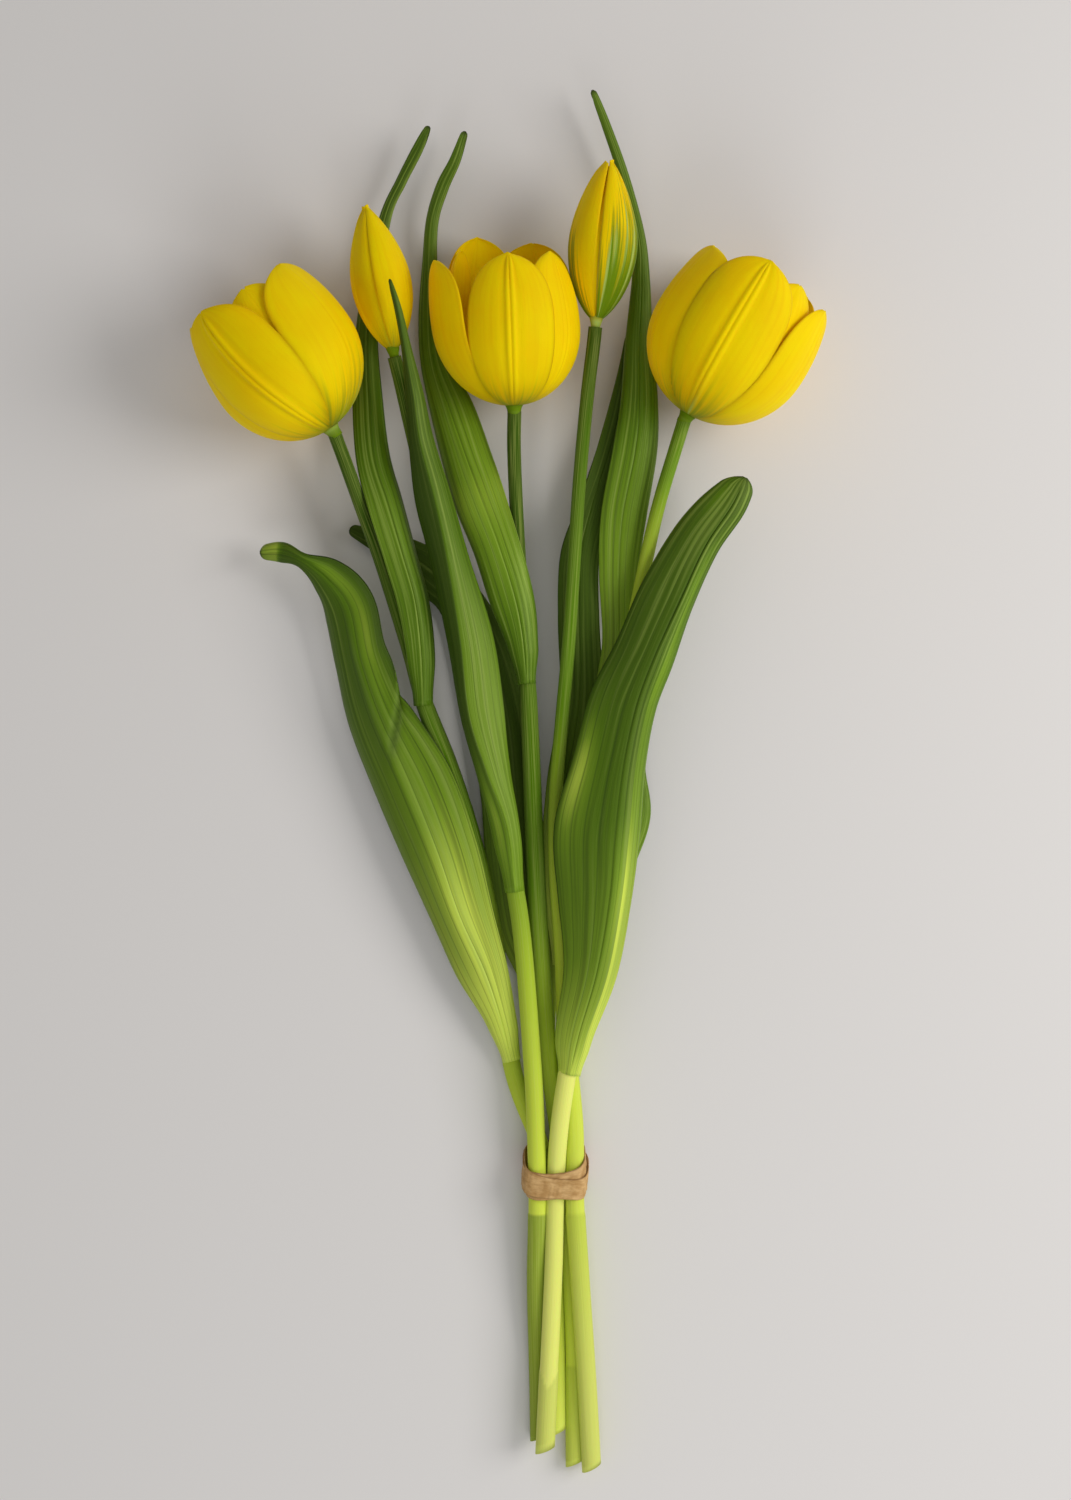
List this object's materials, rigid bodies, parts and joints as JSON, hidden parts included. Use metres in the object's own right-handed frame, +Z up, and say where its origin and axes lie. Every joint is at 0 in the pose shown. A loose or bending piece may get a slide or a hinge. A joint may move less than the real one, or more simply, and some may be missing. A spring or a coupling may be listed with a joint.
{
  "type": "bunch of tulips",
  "caption": "Taped bunch of yellow tulips lying flat, with open flowers, closed buds and long green leaves.",
  "frame": {"origin": "centre of the bunch's footprint, on the surface it lies on", "axes": "+Z up from the surface, +Y along the stems from the cut ends to the flowers, +X to the right when the bunch is seen from above with the flowers away from the viewer"},
  "size_m": [0.2148, 0.4762, 0.057],
  "materials": {
    "petal": "soft matte petal, greenish yellow at the base",
    "stem": "smooth satin green stalk, yellower towards the cut end",
    "leaf": "satin green leaf with fine lengthwise veins",
    "tape": "matte creased kraft paper"
  },
  "bodies": {
    "root": {"stem_left": "stem", "stem_left_bud": "stem", "stem_centre": "stem", "stem_right_bud": "stem", "stem_right": "stem", "leaf_left_low": "leaf", "leaf_left_high": "leaf", "leaf_left_bud": "leaf", "leaf_centre": "leaf", "leaf_right_tall": "leaf", "leaf_right_broad": "leaf", "leaf_right_bud": "leaf", "leaf_back_left": "leaf", "leaf_back_right": "leaf", "bloom_left": "petal", "bloom_centre": "petal", "bloom_right": "petal", "bud_left": "petal", "bud_right": "petal", "tape": "tape"}
  },
  "joints": []
}
